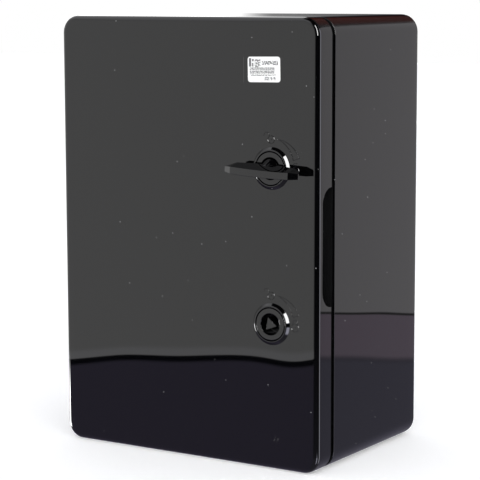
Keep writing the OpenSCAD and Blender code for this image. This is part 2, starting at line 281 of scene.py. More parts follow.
def arc_points(cx, cy, r, start, end, count):
    angles = [math.radians(start + (end - start) * k / count) for k in range(count + 1)]
    return [(cx + r * math.cos(a), cy + r * math.sin(a)) for a in angles]


# ---- Objects ----

scene = bpy.context.scene


def solid(shape, name="solid"):
    verts, faces = shape
    mesh = bpy.data.meshes.new(name)
    mesh.from_pydata([Vector(v) * MM for v in verts], [], faces)
    bm = bmesh.new()
    bm.from_mesh(mesh)
    bmesh.ops.remove_doubles(bm, verts=bm.verts, dist=1e-7)
    bmesh.ops.recalc_face_normals(bm, faces=bm.faces)
    bm.to_mesh(mesh)
    bm.free()
    obj = bpy.data.objects.new(name, mesh)
    scene.collection.objects.link(obj)
    return obj


def boolean(obj, operation, shapes):
    """Joins or cuts with each of shapes, and leaves the result as obj's mesh."""
    tools = [solid(s) for s in shapes]
    for tool in tools:
        step = obj.modifiers.new("step", "BOOLEAN")
        step.operation = operation
        step.solver = "MANIFOLD"
        step.object = tool
    evaluated = obj.evaluated_get(bpy.context.evaluated_depsgraph_get())
    mesh = bpy.data.meshes.new_from_object(evaluated)
    obj.modifiers.clear()
    obj.data = mesh
    for tool in tools:
        bpy.data.objects.remove(tool)
    return obj


def union(obj, *shapes):
    return boolean(obj, "UNION", shapes)


def cut(obj, *shapes):
    return boolean(obj, "DIFFERENCE", shapes)


def piece(obj, name, body, slot, material, *nodes, angle=32):
    """Finishes a piece: its name, shading, material, body and the CAD nodes it stands for. slot is not used."""
    obj.name = obj.data.name = name
    obj.data.materials.clear()
    obj.data.materials.append(material)
    for polygon in obj.data.polygons:
        polygon.use_smooth = True
        polygon.material_index = 0
    obj.data.set_sharp_from_angle(angle=math.radians(angle))
    weighted = obj.modifiers.new("weighted", "WEIGHTED_NORMAL")
    weighted.keep_sharp = True
    weighted.weight = 100
    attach(obj, body)
    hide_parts(*nodes)
    return obj


def merged(shapes):
    """Several separate closed shapes as one."""
    verts, faces = [], []
    for v, f in shapes:
        n = len(verts)
        verts += v
        faces += [tuple(k + n for k in face) for face in f]
    return verts, faces


def joined(shapes):
    return solid(merged(shapes))


# ---- Materials ----

class Graph:
    """Short names for making and joining the nodes of one tree."""

    def __init__(self, tree):
        self.tree = tree

    def add(self, kind, inputs=(), **settings):
        node = self.tree.nodes.new(kind)
        for name, value in settings.items():
            setattr(node, name, value)
        for name, value in dict(inputs).items():
            if isinstance(value, bpy.types.NodeSocket):
                self.tree.links.new(value, node.inputs[name])
            else:
                node.inputs[name].default_value = value
        return node

    def math(self, operation, a, b=0.0):
        return self.add("ShaderNodeMath", {0: a, 1: b}, operation=operation).outputs[0]

    def smooth(self, value, low, high):
        """0 below low, 1 above high, or the other way round if low is the larger."""
        return self.add("ShaderNodeMapRange", {"Value": value, "From Min": low, "From Max": high},
                        interpolation_type="SMOOTHSTEP").outputs["Result"]

    def mix(self, share, a, b):
        return self.add("ShaderNodeMix", {0: share, 6: a, 7: b}, data_type="RGBA").outputs[2]

    def noise(self, place, size, detail=2.0):
        """Soft noise from 0 to 1 with blotches of about size mm."""
        return self.add("ShaderNodeTexNoise", {"Vector": place, "Scale": 1 / size, "Detail": detail}).outputs[0]

    def cells(self, place, size, output="Distance"):
        return self.add("ShaderNodeTexVoronoi", {"Vector": place, "Scale": 1 / size}).outputs[output]

    def blend(self, share, low, high):
        """A number that goes from low to high as share goes from 0 to 1."""
        return self.add("ShaderNodeMapRange", {"Value": share, "To Min": low, "To Max": high}).outputs["Result"]

    def bump(self, height, depth):
        return self.add("ShaderNodeBump", {"Height": height, "Strength": 1.0, "Distance": depth * MM}).outputs[0]

    def bar(self, u, v, box, soft=0.12):
        """1 inside a box of (lowest u, highest u, lowest v, highest v)."""
        u0, u1, v0, v1 = box
        share = self.math("MULTIPLY", self.smooth(u, u0 - soft, u0 + soft), self.smooth(u, u1 + soft, u1 - soft))
        share = self.math("MULTIPLY", share, self.smooth(v, v0 - soft, v0 + soft))
        return self.math("MULTIPLY", share, self.smooth(v, v1 + soft, v1 - soft))


def material(name, colour, roughness, metallic=0.0, ior=1.5, detail=None):
    """A Principled material. detail(graph, place) returns the inputs that vary; place is the spot in mm."""
    made = bpy.data.materials.new(name)
    made.use_nodes = True
    g = Graph(made.node_tree)
    shader = made.node_tree.nodes["Principled BSDF"]
    shader.inputs["Base Color"].default_value = (*colour, 1)
    shader.inputs["Roughness"].default_value = roughness
    shader.inputs["Metallic"].default_value = metallic
    shader.inputs["IOR"].default_value = ior
    if detail:
        metres = g.add("ShaderNodeTexCoord").outputs["Object"]
        place = g.add("ShaderNodeVectorMath", {0: metres, "Scale": 1 / MM}, operation="SCALE").outputs[0]
        for socket, value in detail(g, place).items():
            g.tree.links.new(value, shader.inputs[socket])
    return made


def axes(g, place):
    return g.add("ShaderNodeSeparateXYZ", {0: place}).outputs


def dusty(g, place, colour, roughness, size):
    """Gloss plastic with a few specks of dust."""
    speck = g.smooth(g.cells(place, size), 0.045, 0.015)
    rough = g.blend(g.noise(place, 30), roughness, roughness * 1.4)
    rough = g.add("ShaderNodeMix", {0: speck, 2: rough, 3: 0.6}).outputs[0]
    return g.mix(speck, colour, (0.3, 0.3, 0.3, 1)), rough


def gloss_detail(g, place):
    """Polished outside, satin inside, dusty, with the faint edge of a clear film beside the label."""
    x, y, z = axes(g, place)
    inside = g.smooth(g.math("ABSOLUTE", x), 102.1, 101.9)
    inside = g.math("MULTIPLY", inside, g.smooth(g.math("ABSOLUTE", z), 148.6, 148.4))
    inside = g.math("MULTIPLY", inside, g.math("MULTIPLY", g.smooth(y, -139.7, -139.5), g.smooth(y, -0.4, -0.6)))
    colour, rough = dusty(g, place, (*GLOSS_BLACK, 1), 0.008, 11.0)
    edge = g.bar(x, z, (LABEL[0] - 15.75, LABEL[0] - 15.55, LABEL[1] - 9, LABEL[1] + 8))
    edge = g.math("MULTIPLY", edge, g.smooth(y, -141.0, -141.5))
    colour = g.mix(edge, colour, (0.06, 0.06, 0.06, 1))
    colour = g.mix(inside, colour, (0.009, 0.009, 0.0095, 1))
    rough = g.add("ShaderNodeMix", {0: inside, 2: rough, 3: 0.2}).outputs[0]
    grain = g.math("MULTIPLY", g.noise(place, 0.9), inside)
    return {"Base Color": colour, "Roughness": rough, "Normal": g.bump(grain, 0.02)}


def lock_detail(g, place):
    """Gloss plastic with painted shade in the ring between cap and bezel: there it is near-black, rough and barely
    reflective.
    """
    colour, rough = dusty(g, place, (*GLOSS_BLACK, 1), 0.016, 11.0)
    x, y, z = axes(g, place)
    middle = (LOCKS["upper"][1] + LOCKS["lower"][1]) / 2
    up = g.math("SUBTRACT", g.math("ABSOLUTE", g.math("SUBTRACT", z, middle)), LOCKS["upper"][1] - middle)
    across = g.math("SUBTRACT", x, LOCKS["upper"][0])
    r = g.math("SQRT", g.math("ADD", g.math("MULTIPLY", up, up), g.math("MULTIPLY", across, across)))
    # painted shade: the ring between cap and bezel is darkened and its reflection dimmed, standing in for the shadow
    # in that recess
    painted_gap_shade = g.bar(r, y, (10.66, 11.44, -144.3, -142.5), 0.02)
    rough = g.add("ShaderNodeMix", {0: painted_gap_shade, 2: rough, 3: 0.9}).outputs[0]
    return {"Base Color": g.mix(painted_gap_shade, colour, (0.0008, 0.0008, 0.0008, 1)), "Roughness": rough,
            "Specular IOR Level": g.blend(painted_gap_shade, 0.5, 0.02)}


def satin_detail(g, place):
    return {"Roughness": g.blend(g.noise(place, 4), 0.28, 0.42), "Normal": g.bump(g.noise(place, 0.5), 0.03)}


def foam_detail(g, place):
    pores = g.cells(place, 0.7)
    shade = g.mix(g.noise(place, 6), (0.022, 0.022, 0.022, 1), (0.045, 0.045, 0.045, 1))
    return {"Base Color": shade, "Normal": g.bump(pores, 0.2)}


def rubber_detail(g, place):
    return {"Roughness": g.blend(g.noise(place, 3), 0.42, 0.6), "Normal": g.bump(g.noise(place, 0.4), 0.02)}


def turned_detail(g, place):
    """Fine lines across the axis, as a lathe leaves."""
    _, y, _ = axes(g, place)
    along = g.add("ShaderNodeCombineXYZ", {1: y}).outputs[0]
    tint = g.mix(g.noise(place, 2.5), (0.66, 0.45, 0.19, 1), (0.76, 0.56, 0.28, 1))
    return {"Base Color": tint, "Roughness": g.blend(g.noise(place, 1.5), 0.2, 0.34),
            "Normal": g.bump(g.noise(along, 0.2), 0.02)}


def spangle_detail(g, place):
    """Galvanised sheet: crystals a few millimetres across, each with its own tone and polish."""
    warped = g.add("ShaderNodeVectorMath", {0: place, 1: g.add(
        "ShaderNodeVectorMath", {0: g.add("ShaderNodeTexNoise", {"Vector": place, "Scale": 0.2}).outputs[1],
                                 "Scale": 4.0}, operation="SCALE").outputs[0]}, operation="ADD").outputs[0]
    crystal = g.add("ShaderNodeSeparateColor", {0: g.cells(warped, 7, "Color")}).outputs
    tone = g.mix(crystal[0], (0.46, 0.47, 0.485, 1), (0.63, 0.64, 0.65, 1))
    return {"Base Color": tone, "Roughness": g.blend(crystal[1], 0.28, 0.45),
            "Normal": g.bump(g.noise(place, 1.2), 0.01)}


def plated_detail(g, place):
    tint = g.mix(g.noise(place, 2.2), (0.56, 0.57, 0.56, 1), (0.68, 0.67, 0.63, 1))
    return {"Base Color": tint, "Roughness": g.blend(g.noise(place, 0.8), 0.18, 0.34)}


# Blocks of generic print on the label, in mm from its centre: (box, size of the strokes, or 0 if solid, darkness)
PRINT = [
    ((-11.4, -9.7, 1.9, 7.3), 0, 0.85), ((-8.9, -7.8, 5.3, 6.8), 0, 0.97), ((-9.1, -8.0, 1.9, 4.3), 0, 0.85),
    ((-7.2, -2.6, 2.1, 6.7), 0.9, 0.85), ((-6.7, -4.2, 1.4, 2.1), 0, 0.85), ((-1.4, 10.7, 2.9, 5.5), 0.9, 0.9),
    ((-10.8, 8.1, -0.5, 1.4), 0.6, 0.85), ((-10.8, 7.9, -2.7, -0.8), 0.6, 0.9), ((-10.3, 9.3, -4.1, -3.3), 0.6, 0.9),
    ((0.3, 4.2, -7.0, -4.9), 0.6, 0.85), ((4.9, 6.5, -6.9, -5.0), 0.7, 0.85), ((7.2, 8.8, -6.9, -5.0), 0.7, 0.85),
]


def print_detail(g, place):
    x, _, z = axes(g, place)
    x, z = g.math("SUBTRACT", x, LABEL[0]), g.math("SUBTRACT", z, LABEL[1])
    c, t = math.cos(LABEL_TILT), math.sin(LABEL_TILT)
    u = g.math("ADD", g.math("MULTIPLY", x, c), g.math("MULTIPLY", z, t))
    v = g.math("SUBTRACT", g.math("MULTIPLY", z, c), g.math("MULTIPLY", x, t))
    flat = g.add("ShaderNodeCombineXYZ", {0: u, 1: v}).outputs[0]
    ink = None
    for box, stroke, dark in PRINT:
        share = g.math("MULTIPLY", g.bar(u, v, box), dark)
        if stroke:
            share = g.math("MULTIPLY", share, g.smooth(g.noise(flat, stroke, 0.0), 0.44, 0.52))
        ink = share if ink is None else g.math("MAXIMUM", ink, share)
    return {"Base Color": g.mix(ink, (0.95, 0.95, 0.93, 1), (0.03, 0.03, 0.035, 1)),
            "Roughness": g.blend(g.noise(place, 5), 0.34, 0.42)}


GLOSS_BLACK = (0.0012, 0.0012, 0.0014)
gloss_abs = material("gloss_black_abs", GLOSS_BLACK, 0.012, detail=gloss_detail)
lock_plastic = material("black_lock_plastic", GLOSS_BLACK, 0.02, detail=lock_detail)
nut_plastic = material("black_nut_plastic", (0.015, 0.015, 0.015), 0.35, detail=satin_detail)
foam = material("foam_gasket", (0.03, 0.03, 0.03), 0.9, detail=foam_detail)
rubber = material("black_rubber", (0.02, 0.02, 0.02), 0.5, detail=rubber_detail)
brass = material("brass", (0.72, 0.5, 0.22), 0.25, metallic=1, detail=turned_detail)
galvanised = material("galvanised_steel", (0.55, 0.56, 0.57), 0.35, metallic=1, detail=spangle_detail)
plated = material("plated_steel", (0.6, 0.6, 0.58), 0.25, metallic=1, detail=plated_detail)
film = material("label_film", (0.9, 0.9, 0.88), 0.4, detail=print_detail)

# ---- Door ----

WAVE_MM = 0.025
WAVE_LENGTH = 60.0


def warp(x, z):
    """How far the door's front bulges at a place: a twist that is strongest near the free side."""
    hollow = math.exp(-((x - 87) / 23) ** 2)
    left = min(max((-45 - x) / 58, 0), 1)
    return z * (0.0005 - 0.0019 * hollow - 0.0011 * left * left * (3 - 2 * left))


def wavy(obj, seed, warped=False):
    """Gives the moulded faces the slight unevenness that bends their reflections."""
    mesh = obj.data
    for vertex in mesh.vertices:
        p = vertex.co / MM
        if abs(p.x) < HALF_W - 0.5 and abs(p.z) < HALF_H - 0.5 and DOOR_FRONT + 0.5 < p.y < -0.5:
            continue
        shift = WAVE_MM * noise.noise(p / WAVE_LENGTH + Vector((seed, 0, 0)))
        vertex.co += vertex.normal * shift * MM
        if warped and p.y < DOOR_FRONT + 1:
            vertex.co.y -= warp(p.x, p.z) * MM


def door_corner(inset):
    return max(CORNER_R - inset, 1.0)


def band_corner(outer_inset, outer_r):
    return lambda inset: max(outer_r - (inset - outer_inset), 0.6)


def skirt_cutter(x, z, half_len, depth, r):
    """An opening in the door's skirt at the side x, with edges that flare where it meets the skirt's two faces."""
    flare = 0.5
    sign = 1 if x > 0 else -1
    outer, inner = abs(x), abs(x) - SKIRT_T
    turns = [math.pi / 2 * k / 4 for k in range(5)]
    stops = [(inner - 1, flare)] + [(inner + flare * (1 - math.cos(t)), flare * (1 - math.sin(t))) for t in turns]
    stops += [(outer - flare * (1 - math.cos(t)), flare * (1 - math.sin(t))) for t in reversed(turns)]
    stops.append((outer + 1, flare))
    rings = []
    for at, grow in stops:
        ring = outline_ring(half_len + grow, depth + grow, r + grow, 1, 1, 10)
        rings.append([(sign * at, SKIRT_REAR + v, z + u) for u, v in ring])
    return loft(rings)


def door_knuckle(z):
    start = math.degrees(math.atan2(-132.375 - HINGE_Y, 2.5))
    end = math.degrees(math.atan2(-131.163 - HINGE_Y, -3.6)) + 360
    root = DOOR_INNER - IN_DOOR
    outline = [(-96.5, root), *arc_points(HINGE_X, HINGE_Y, KNUCKLE_R, start, end, 24), (-102.6, root)]
    return prism(outline, z - KNUCKLE_HALF, z + KNUCKLE_HALF, 0.3, "z")


def base_ear(z):
    start = math.degrees(math.atan2(3.688, -2.0)) - 360
    end = math.degrees(math.atan2(2.163, 3.6))
    outline = [(-101.0, -118.0), *arc_points(HINGE_X, HINGE_Y, KNUCKLE_R, start, end, 24), (-95.4, -118.0)]
    return prism(outline, z - EAR_LEN / 2, z + EAR_LEN / 2, 0.3, "z")


def pin_bore(z, r, half):
    return lathe([(r, z - half), (r, z + half)], (HINGE_X, HINGE_Y), 32, "z", closed=False)


door_profile = rounded([
    (8, DOOR_FRONT, 0), (0, DOOR_FRONT, DOOR_EDGE_R), (0, SKIRT_REAR, 0.5), (SKIRT_T, SKIRT_REAR, 0.5),
    (SKIRT_T, DOOR_INNER, 1.2), (8, DOOR_INNER, 0),
], 6)
door = solid(box_shell(subdivided(door_profile, 7), door_corner, 36, 48, 10))
wavy(door, 3.1, warped=True)
cut(
    door, skirt_cutter(HALF_W, 0, 39.4, 11.6, 11),
    *[skirt_cutter(-HALF_W, side * HINGE_Z, 15.0, 13.5, 1.0) for side in (1, -1)],
)

# ---- Raised marks round the locks ----

MARK_HEIGHT = 0.2
MARK_W = 0.45


def stroke(points):
    """A thin raised line along an open polyline on the door's front."""
    left, right = [], []
    for k, q in enumerate(points):
        before, after = Vector(points[max(k - 1, 0)]), Vector(points[min(k + 1, len(points) - 1)])
        along = (after - before).normalized()
        across = Vector((-along.y, along.x)) * MARK_W / 2
        left.append(tuple(Vector(q) + across))
        right.append(tuple(Vector(q) - across))
    return prism(right + left[::-1], DOOR_FRONT - MARK_HEIGHT, DOOR_FRONT + 1, 0.15)


def hoop(place, r, w=MARK_W):
    low, high = DOOR_FRONT - MARK_HEIGHT, DOOR_FRONT + 1
    return lathe([(r - w / 6, low), (r + w / 6, low), (r + w / 2, low + 0.15), (r + w / 2, high), (r - w / 2, high),
                  (r - w / 2, low + 0.15)], place, 40)


def dot(place, r):
    return lathe([(r, DOOR_FRONT - MARK_HEIGHT), (r, DOOR_FRONT + 1)], place, 24, closed=False)


def horn(place, r_end):
    """One edge of the crescent that widens clockwise from its point."""
    x, z = place
    points = []
    for k in range(25):
        share = k / 24
        a, r = math.radians(77 - 57 * share), 19.8 + (r_end - 19.8) * share
        points.append((x + r * math.cos(a), z + r * math.sin(a)))
    return stroke(points)


marks = [[hoop((72, -129.4), 1.5)], [], []]
for x, z in LOCKS.values():
    marks[0] += [hoop((x - 0.5, z + 18.9), 2.5), dot((x - 0.5, z + 18.9), 0.5), hoop((x + 18, z - 0.9), 2.7),
                 dot((x + 18, z - 0.9), 0.5), horn((x, z), 22.3)]
    marks[1] += [horn((x, z), 17.3), stroke(arc_points(x - 4.0, z + 21.6, 2.0, -30, 190, 16)),
                 stroke([(x + 16.3, z + 1.0), *arc_points(x + 18, z + 2.6, 1.7, 180, 0, 12), (x + 19.7, z + 1.0)])]
    marks[2].append(stroke([(x + r * math.cos(math.radians(20)), z + r * math.sin(math.radians(20)))
                            for r in (17.25, 19.8, 22.35)]))


def rib_profile(low, high):
    root = DOOR_INNER - IN_DOOR
    return rounded([(low, root, 0), (low, RIB_REAR, 0.4), (high, RIB_REAR, 0.4), (high, root, 0)])


union(
    door,
    box_shell(rib_profile(9.5, 10.7), band_corner(9.5, 5.5), 1, 1, 8, closed=True),
    box_shell(rib_profile(14.8, 16.0), band_corner(14.8, 2.2), 1, 1, 8, closed=True),
    door_knuckle(HINGE_Z), door_knuckle(-HINGE_Z), *[merged(group) for group in marks],
)
cut(
    door, pin_bore(HINGE_Z, PIN_R + 0.05, 9), pin_bore(-HINGE_Z, PIN_R + 0.05, 9),
    *[lathe([(BARREL_R + 0.1, -145), (BARREL_R + 0.1, -135)], place, closed=False) for place in LOCKS.values()],
)
piece(door, "door_moulding", "door", "gloss_black_abs", gloss_abs, "door_panel")

# ---- Base ----


def base_corner(inset):
    return between(inset, [(0, 12), (8, 4), (11.5, 3.5), (14, 1), (15.5, 3)])


base_profile = rounded([
    (12, 0, 0), (0, 0, BACK_EDGE_R), (0, BASE_FRONT, 0.5), (11.5, BASE_FRONT, 0), (11.5, RIM_FRONT, 0.4),
    (14, RIM_FRONT, 0.4), (14, BASE_FRONT, 0), (15.5, BASE_FRONT, 0.5), (15.5, FLANGE_REAR, 0.5),
    (BASE_WALL, FLANGE_REAR, 0.4), (BASE_WALL, -BASE_WALL, BACK_EDGE_R - BASE_WALL), (12, -BASE_WALL, 0),
], 6)
base = solid(box_shell(subdivided(base_profile, 9), base_corner, 24, 36, 10))
wavy(base, 8.4)
ear_z = [side * HINGE_Z + end * (KNUCKLE_HALF + EAR_GAP + EAR_LEN / 2) for side in (1, -1) for end in (1, -1)]
bosses = [(sx * BOSS_X, sz * BOSS_Z) for sx in (1, -1) for sz in (1, -1)]
wall_holes = [(sx * WALL_HOLE_X, sz * WALL_HOLE_Z) for sx in (1, -1) for sz in (1, -1)]


def boss(place):
    profile = rounded([(0.01, -2, 0), (7.0, -2, 0), (5.6, -4.5, 1.5), (5.5, PLATE_BACK, 0.4), (0.01, PLATE_BACK, 0)])
    return lathe(profile, place, 48, closed=False)


def boss_rib(place, along_x):
    long, thin = 9.0, 1.0
    u, v = (long, thin) if along_x else (thin, long)
    corners = [(place[0] + a * u, place[1] + b * v) for a, b in ((-1, -1), (1, -1), (1, 1), (-1, 1))]
    return prism(corners, -8.5, -2, 0.3)


def wall_pad(place):
    profile = rounded([(0.01, -2, 0), (9.0, -2, 0), (8.2, -3.2, 0.6), (8.0, -5, 0.4), (0.01, -5, 0)])
    return lathe(profile, place, 48, closed=False)


union(
    base, *[base_ear(z) for z in ear_z], *[boss(p) for p in bosses], *[wall_pad(p) for p in wall_holes],
)
union(base, *[boss_rib(p, along) for p in bosses for along in (True, False)])
cut(
    base,
    *[pin_bore(side * HINGE_Z, PIN_R + 0.03, 16) for side in (1, -1)],
    *[lathe([(3.3, -15), (3.3, -6)], p, 40, closed=False) for p in bosses],
    *[lathe(rounded([(3.5, -5.6, 0), (2.5, -4.6, 0.3), (2.5, -0.4, 0.3), (3.4, 0.6, 0)]), p, 40, closed=False)
      for p in wall_holes],
)
piece(base, "base_moulding", "enclosure", "gloss_black_abs", gloss_abs, "base_shell")

# ---- Mounting plate and its fixings ----


def washer(place, low, high, outer, inner):
    profile = rounded([
        (inner, low, 0), (outer, low, 0.25), (outer, high, 0.25), (inner, high, 0.15), (inner, (low + high) / 2, 0),
    ])
    return lathe(profile, place, 48)


def screw_body(place, under, away, length):
    """A domed pan head from under the head to its crown, and a shank of the given length the other way."""
    crown = under + away * 3.0
    end = under - away * length
    profile = rounded([
        (0, crown, 0), (1.2, crown, 0), (3.6, crown - away * 0.5, 2.0), (4.2, under + away * 1.1, 0.8),
        (4.2, under, 0.15), (2.4, under, 0.1), (2.4, end + away * 0.8, 0), (1.7, end, 0), (0, end, 0),
    ], 5)
    low, high = sorted((under - away * 0.4, end))
    return lathe([(max(r, 0.01), y) for r, y in profile], place, 48, closed=False,
                 thread=(low, high, 0.8, 0.4, 2.3))


def slot_cutter(place, under, away, turn):
    u = Vector((math.cos(turn), math.sin(turn)))
    v = Vector((-u.y, u.x))
    centre = Vector(place)
    corners = [tuple(centre + u * a * 6 + v * b * 0.6) for a, b in ((-1, -1), (1, -1), (1, 1), (-1, 1))]
    low, high = sorted((under + away * 1.7, under + away * 4))
    return prism(corners, low, high)


def screws(places, under, away, length, turns):
    made = joined([screw_body(p, under, away, length) for p in places])
    return cut(made, *[slot_cutter(p, under, away, t) for p, t in zip(places, turns)])


x, z, c = PLATE_HALF_W, PLATE_HALF_H, PLATE_CHAMFER
plate_outline = [
    (-x, c - z), (c - x, -z), (x - c, -z), (x, c - z), (x, z - c), (x - c, z), (c - x, z), (-x, z - c),
]
plate = solid(prism(plate_outline, PLATE_FRONT, PLATE_BACK, 0.25))
cut(plate, *[lathe([(2.8, PLATE_FRONT - OVER), (2.8, PLATE_BACK + OVER)], p, 40, closed=False) for p in bosses])
piece(plate, "plate_sheet", "enclosure", "galvanised_steel", galvanised, "mounting_plate")

inserts = joined([
    lathe(rounded([(BORE_R, -6, 0), (3.25, -6, 0.3), (3.25, PLATE_BACK, 0.3), (BORE_R, PLATE_BACK, 0.3),
                   (BORE_R, -10, 0)]), p, 40)
    for p in bosses
])
piece(inserts, "threaded_inserts", "enclosure", "brass", brass, "plate_inserts")

washers = joined([washer(p, WASHER_FRONT, PLATE_FRONT, WASHER_R, WASHER_HOLE_R) for p in bosses])
piece(washers, "plate_screw_washers", "enclosure", "plated_steel", plated, "plate_washers")

fixings = screws(bosses, WASHER_FRONT, -1, 10, [0.4, 1.9, 2.7, 1.1])
piece(fixings, "plate_fixing_screws", "enclosure", "plated_steel", plated, "plate_screws")

pins = joined([
    lathe(rounded([(0.01, z - PIN_HALF, 0), (PIN_R, z - PIN_HALF, 0.4), (PIN_R, z + PIN_HALF, 0.4),
                   (0.01, z + PIN_HALF, 0)]),
          (HINGE_X, HINGE_Y), 32, "z", closed=False)
    for z in (HINGE_Z, -HINGE_Z)
])
piece(pins, "hinge_pin_rods", "enclosure", "plated_steel", plated, "hinge_pins")

# ---- Gasket and label ----

gasket_profile = rounded([
    (12.7, DOOR_INNER, 0), (10.75, DOOR_INNER, 0.2), (10.75, GASKET_REAR, 1.4), (14.75, GASKET_REAR, 1.4),
    (14.75, DOOR_INNER, 0.2), (12.8, DOOR_INNER, 0),
], 4)
gasket = solid(box_shell(gasket_profile, band_corner(10.75, 4.3), 24, 36, 8, closed=True))
piece(gasket, "foam_strip", "door", "foam_gasket", foam, "door_gasket")

label_outline = []
for u, v in outline_ring(LABEL_HALF_W, LABEL_HALF_H, 1.8, 1, 1, 8):
    turned = Vector((u, v))
    turned.rotate(Matrix.Rotation(LABEL_TILT, 2))
    label_outline.append((LABEL[0] + turned.x, LABEL[1] + turned.y))
label = solid(prism(label_outline, DOOR_FRONT - 0.15, DOOR_FRONT + 0.1, 0.05))
piece(label, "label_sticker", "door", "label_film", film, "rating_label")

# ---- Locks ----


def lock_housing(place):
    profile = rounded([
        (SHAFT_R + 0.05, -117.4, 0), (BARREL_R, -117.4, 0.5), (BARREL_R, DOOR_FRONT, 0), (14.2, DOOR_FRONT, 0.1),
        (12.3, CAP_FRONT, 0.7), (11.4, CAP_FRONT, 0.1), (11.4, CAP_SEAT, 0), (CORE_R + 0.05, CAP_SEAT, 0),
        (CORE_R + 0.05, -130, 0), (SHAFT_R + 0.05, -130, 0),
    ])
    return lathe(profile, place, 96, thread=(-137.5, -117.6, 1.5, 0.6, 10.85))


def lock_core(place, turn):
    made = solid(lathe(rounded([
        (0.01, -116.85, 0), (SHAFT_R, -116.85, 0.2), (SHAFT_R, -130.05, 0), (CORE_R, -130.05, 0.2), (CORE_R, -131, 0),
        (7.05, -131, 0), (7.05, -133, 0), (CORE_R, -133, 0), (CORE_R, CAP_SEAT - 0.1, 0), (CAP_R, CAP_SEAT - 0.1, 0),
        (CAP_R, CAP_FRONT, 0.15), (WELL_R, CAP_FRONT, 0.3), (WELL_R, WELL_FLOOR, 0.5), (0.01, WELL_FLOOR, 0),
    ]), place, 96, closed=False))
    u, v = place
    triangle = []
    for tip in (0, 120, 240):
        triangle += arc_points(u, v, 4.7, tip + turn - TIP_HALF_ANGLE, tip + turn + TIP_HALF_ANGLE, 2)
    square = [(u + 3.5 * a, v + 3.5 * b) for a, b in ((-1, -1), (1, -1), (1, 1), (-1, 1))]
    union(made, prism(triangle, CAP_FRONT + 0.1, WELL_FLOOR + OVER, 0.12), prism(square, -118, -114.35, 0.2))
    return cut(made, lathe([(BORE_R, -126.3), (BORE_R, -113)], place, 32, closed=False))


def hexagon(place, across_flats):
    r = across_flats / math.sqrt(3)
    return [(place[0] + r * math.cos(math.radians(a)), place[1] + r * math.sin(math.radians(a)))
            for a in range(0, 360, 60)]


def lock_nut(place):
    made = solid(prism(hexagon(place, 27), -138, -133, 0.2))
    boolean(made, "INTERSECT", [lathe([(14.2, -138), (15.7, -137.2), (15.7, -133.8), (14.2, -133)], place, 96,
                                      closed=False)])
    return cut(made, lathe([(BARREL_R + 0.05, -140), (BARREL_R + 0.05, -131)], place, 96, closed=False))


def cam_plate(place):
    """A bar from a round hub towards the free side."""
    u, v = place
    hub = math.degrees(math.asin(5.5 / 9))
    outline = arc_points(u, v, 9, hub, 360 - hub, 40) + arc_points(u + 22.5, v, 5.5, -90, 90, 16)
    made = solid(prism(outline, CAM_FRONT, CAM_REAR, 0.3))
    square = [(u + 3.6 * a, v + 3.6 * b) for a, b in ((-1, -1), (1, -1), (1, 1), (-1, 1))]
    return cut(made, prism(square, CAM_FRONT - OVER, CAM_REAR + OVER))


for name, place in LOCKS.items():
    lock_body = f"{name}_lock"
    piece(solid(lock_housing(place)), f"{name}_lock_barrel", "door", "black_lock_plastic", lock_plastic,
          f"{name}_lock_housing")
    piece(solid(washer(place, DOOR_INNER, -138, 15, BARREL_R + 0.05)), f"{name}_lock_washer", "door", "black_rubber",
          rubber, f"{name}_lock_seal")
    piece(lock_nut(place), f"{name}_lock_hex_nut", "door", "black_nut_plastic", nut_plastic, f"{name}_lock_nut")
    piece(lock_core(place, INSERT_TURN[name]), f"{name}_lock_insert", lock_body, "black_lock_plastic", lock_plastic,
          f"{name}_lock_core")
    o_ring = lathe([(7.85 + 0.75 * math.cos(a), -132 + 0.75 * math.sin(a))
                    for a in [math.pi * k / 8 for k in range(16)]], place, 64)
    piece(solid(o_ring), f"{name}_core_o_ring", lock_body, "black_rubber", rubber, f"{name}_core_ring")
    piece(cam_plate(place), f"{name}_cam_plate", lock_body, "galvanised_steel", galvanised, f"{name}_cam")
    piece(solid(washer(place, CAM_REAR, CAM_SCREW_SEAT, WASHER_R, WASHER_HOLE_R)), f"{name}_cam_disc", lock_body,
          "plated_steel", plated, f"{name}_cam_washer")
    piece(screws([place], CAM_SCREW_SEAT, 1, CAM_SCREW_L, [CAM_SLOT_TURN[name]]), f"{name}_cam_fixing", lock_body,
          "plated_steel", plated, f"{name}_cam_screw")

# ---- Key ----

WING_HALF = 28.0
WING_REAR = -147.5
WING_TIP = -154.8
WING_FRONT = -159.5
WING_BOW = 1.2
WING_BELLY = 0.5
REAR_HALF_T = 3.45
FACET_X = 22.0
KEY_DROOP = math.radians(2.5)
KEY_SAG = 0.13         # how far the key sinks towards the viewer, as a slope from KEY_PIVOT on
KEY_PIVOT = -145.0
WING_REAR_LINE = [(0, WING_REAR), (10, WING_REAR), (24.6, -149.6), (WING_HALF, WING_TIP + 0.5)]
FRONT_FACET = [(FACET_X, WING_FRONT + WING_BOW), (WING_HALF, WING_TIP - 0.3)]


def wing_front(x):
    if abs(x) > FACET_X:
        return between(abs(x), FRONT_FACET)
    bow = (FACET_X ** 2 + WING_BOW ** 2) / (2 * WING_BOW)
    return WING_FRONT + bow - math.sqrt(bow ** 2 - x ** 2)


def wing_height(x, y, taper, end):
    """Height of the wing above or below its axis, less by taper at the front, and end at its two ends."""
    share = (y - WING_REAR) / (WING_FRONT - WING_REAR)
    facet = min(max((abs(x) - FACET_X) / (WING_HALF - FACET_X), 0), 1)
    return (REAR_HALF_T - taper * share) * (1 - facet) + end * facet


